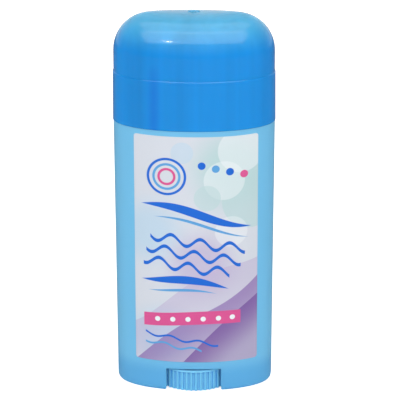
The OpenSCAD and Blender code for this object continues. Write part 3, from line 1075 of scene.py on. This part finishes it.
def make_finishes() -> Finishes:
    """Makes every slot's material on one shared surface group."""
    cap = linear(8, 141, 224)
    # Colour of the painted reflection stripe on the cap's front: a dark thing mirrored there.
    reflection_stripe_colour = (0.0, cap[1] * 0.74, cap[2] * 0.97)
    finishes = {
        # Painted shade: the barrel is darker towards its foot and lighter above.
        Slot.BARREL: MouldedPlastic("light_blue_plastic", linear(92, 176, 228),
                                    (PaintedLightAbove(linear(115, 194, 236), start=0.006, full=0.0125),)),
        # Painted shade in the dial's narrow grooves between the ribs.
        Slot.DIAL: MouldedPlastic("dial_blue_plastic", linear(120, 203, 244),
                                  (PaintedRecessShade(linear(44, 142, 222), reach=0.0012, span=(0.4, 0.95)),), roughness=0.3),
        # Painted light on the cap's top, and a painted reflection stripe on its front.
        Slot.CAP: MouldedPlastic(
            "deep_blue_plastic", cap,
            (PaintedLightAbove(linear(80, 180, 226), start=0.127, full=0.1395),
             PaintedReflectionStripe(reflection_stripe_colour, x=-0.0138, half_width=0.003, top=0.128, fade=0.014, strength=0.9)),
            roughness=0.14, depth=0.003, through=0.25, grain=0.12, wear=0.25, streaks=0.45, coat=0.25),
        Slot.INNER: MouldedPlastic("natural_white_plastic", (0.86, 0.88, 0.9), roughness=0.42, wear=0.1, tone=0.02),
        Slot.SEAL: MouldedPlastic("seal_white_plastic", (0.88, 0.9, 0.92), roughness=0.28, wear=0.1, tone=0.02),
        Slot.WAX: MouldedPlastic("white_wax", (0.9, 0.89, 0.85), roughness=0.5, depth=0.004, through=0.4, grain=0.8,
                                 waves=1.4, wear=0.0, tone=0.02),
        Slot.LABEL: PrintedFilm()}
    skin = MouldedSkin().make()
    return {slot: finish.make(skin) for slot, finish in finishes.items()}


@dataclass(frozen=True)
class SoftBox:
    """A soft rectangular lamp.

    Attributes:
        name: Its name.
        place, size: Where it stands, and its width and height, in metres.
        watts: Its power.
        hidden: The kind of light that it doesn't give, if there is one.
    """

    name: str
    place: Point
    size: Span
    watts: float
    hidden: Hidden | None = None

    def build(self, target: Point) -> None:
        """Adds the lamp and turns it to a point, in metres."""
        data = bpy.data.lights.new(self.name, "AREA")
        data.shape, data.size, data.size_y, data.energy = "RECTANGLE", *self.size, self.watts
        lamp = placed(self.name, data)
        lamp.location = self.place
        lamp.rotation_euler = (Vector(target) - Vector(self.place)).to_track_quat("-Z", "Y").to_euler()
        if self.hidden is not None:
            setattr(lamp, self.hidden.value, False)


@dataclass(frozen=True)
class Studio:
    """The camera, the lamps, the floor and the background, in metres.

    The key gives all light, the top box and the glint only gloss, and the others only matt light.

    Attributes:
        aim: The point that the camera looks at.
        elevation, azimuth: Its angle above the horizon, and round to the right of the front, in degrees.
        roll: How far it leans, in degrees.
        distance: Its distance from that point.
        lens, sensor: Its focal length and its sensor's width, in millimetres.
        shift: How far the picture is moved, as a share of its width.
        lamps, lamp_target: The lamps, and the point that they face.
        floor_half: Half the floor's width.
        floor_colour, floor_mirrored: The floor's colour, and its colour in reflections.
        floor_glow, backdrop_glow: How much brighter floor and background are to the camera.
        ambient: Strength of the background's light.
        rear: Between which directions, along Y, the background brightens in reflections.
        mirrored: How much it brightens there, and what is added all over.
    """

    aim: Point = (0.0, 0.0, 0.0665)
    elevation: float = 20.96
    azimuth: float = 1.562
    roll: float = -0.121
    distance: float = 0.92003
    lens: float = 229.16
    sensor: float = 36.0
    shift: Span = (0.01406, 0.01803)
    lamps: tuple[SoftBox, ...] = (
        SoftBox("key_box", (0.0, -0.62, 0.98), (1.7, 0.7), 6.2),
        SoftBox("top_box", (0.0, -0.1, 1.15), (1.3, 0.6), 3.0, Hidden.MATT),
        SoftBox("fill_box", (0.0, -0.98, 0.42), (0.9, 0.5), 2.95, Hidden.GLOSS),
        SoftBox("left_box", (-0.9, -0.25, 0.3), (0.35, 0.9), 1.75, Hidden.GLOSS),
        SoftBox("right_box", (0.85, -0.45, 0.35), (0.45, 0.9), 1.7, Hidden.GLOSS),
        SoftBox("rear_box", (0.1, 1.1, 0.6), (1.2, 0.8), 3.2, Hidden.GLOSS),
        SoftBox("glint_left", (-0.29, -0.72, 0.77), (0.05, 0.014), 0.4, Hidden.MATT))
    lamp_target: Point = (0.0, 0.0, 0.13)
    floor_half: float = 1.5
    floor_colour: Colour = (0.9, 0.9, 0.905)
    floor_mirrored: Colour = (0.32, 0.32, 0.32)
    floor_glow: float = 0.75
    ambient: float = 0.3
    backdrop_glow: float = 0.7
    rear: Span = (-0.2, 0.75)
    mirrored: Span = (0.85, -0.12)

    def camera(self) -> None:
        """Places the camera at the photograph's angle."""
        data = bpy.data.cameras.new("camera")
        camera = placed("camera", data)
        angle = math.radians(self.elevation)
        round_z = Matrix.Rotation(math.radians(self.azimuth), 4, "Z")
        place = Vector(self.aim) + round_z @ (self.distance * Vector((0.0, -math.cos(angle), math.sin(angle))))
        camera.matrix_world = (Matrix.Translation(place) @ round_z @ Matrix.Rotation(math.pi / 2 - angle, 4, "X")
                               @ Matrix.Rotation(math.radians(self.roll), 4, "Z"))
        data.sensor_width, data.lens = self.sensor, self.lens
        data.shift_x, data.shift_y = self.shift
        bpy.context.scene.camera = camera

    def floor(self) -> None:
        """Lays the pale floor, which is duller in reflections."""
        mesh = bmesh.new()
        bmesh.ops.create_grid(mesh, x_segments=8, y_segments=8, size=self.floor_half)
        floor = placed("floor", mesh_data("floor", mesh))
        material, shader, graph = new_material("floor_white")
        rays = graph.add("ShaderNodeLightPath")
        colour = graph.mix(rays.outputs["Is Glossy Ray"], self.floor_colour, self.floor_mirrored)
        glow = graph.maths("MULTIPLY", rays.outputs["Is Camera Ray"], self.floor_glow)
        graph.fill(shader, {"Roughness": 0.8, "Specular IOR Level": 0.1, "Emission Color": (1.0, 1.0, 1.0, 1.0),
                            "Base Color": colour, "Emission Strength": glow})
        floor.data.materials.append(material)

    def background(self) -> None:
        """Sets the background: white to the camera, and brighter at the back in reflections."""
        world = bpy.data.worlds.new("studio_white")
        world.use_nodes = True
        bpy.context.scene.world = world
        graph = Graph(world.node_tree)
        plain = world.node_tree.nodes["Background"]
        path = graph.add("ShaderNodeLightPath")
        seen = graph.maths("MAXIMUM", path.outputs["Is Camera Ray"], path.outputs["Is Transmission Ray"])
        behind = graph.ramp(graph.split(graph.place())[1], *self.rear)
        mirrored = graph.maths("MULTIPLY_ADD", behind, *self.mirrored)
        gloss = graph.maths("MULTIPLY_ADD", path.outputs["Is Glossy Ray"], mirrored, self.ambient)
        strength = graph.maths("MULTIPLY_ADD", seen, self.backdrop_glow, gloss)
        graph.fill(plain, {"Color": (1.0, 1.0, 1.0, 1.0), "Strength": strength})

    def build(self) -> None:
        """Builds the whole studio."""
        self.camera()
        for lamp in self.lamps:
            lamp.build(self.lamp_target)
        self.floor()
        self.background()
        bpy.context.scene.view_settings.view_transform = "Standard"


def main() -> None:
    """Builds the studio and the stick."""
    logging.basicConfig(level=logging.INFO, format="%(message)s")
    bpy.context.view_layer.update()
    Studio().build()
    finishes = make_finishes()
    for assembly in (Barrel(), DialScrew(), Platform(), Seal(), Cap()):
        assembly.build(finishes)


if __name__ == "__main__":
    main()
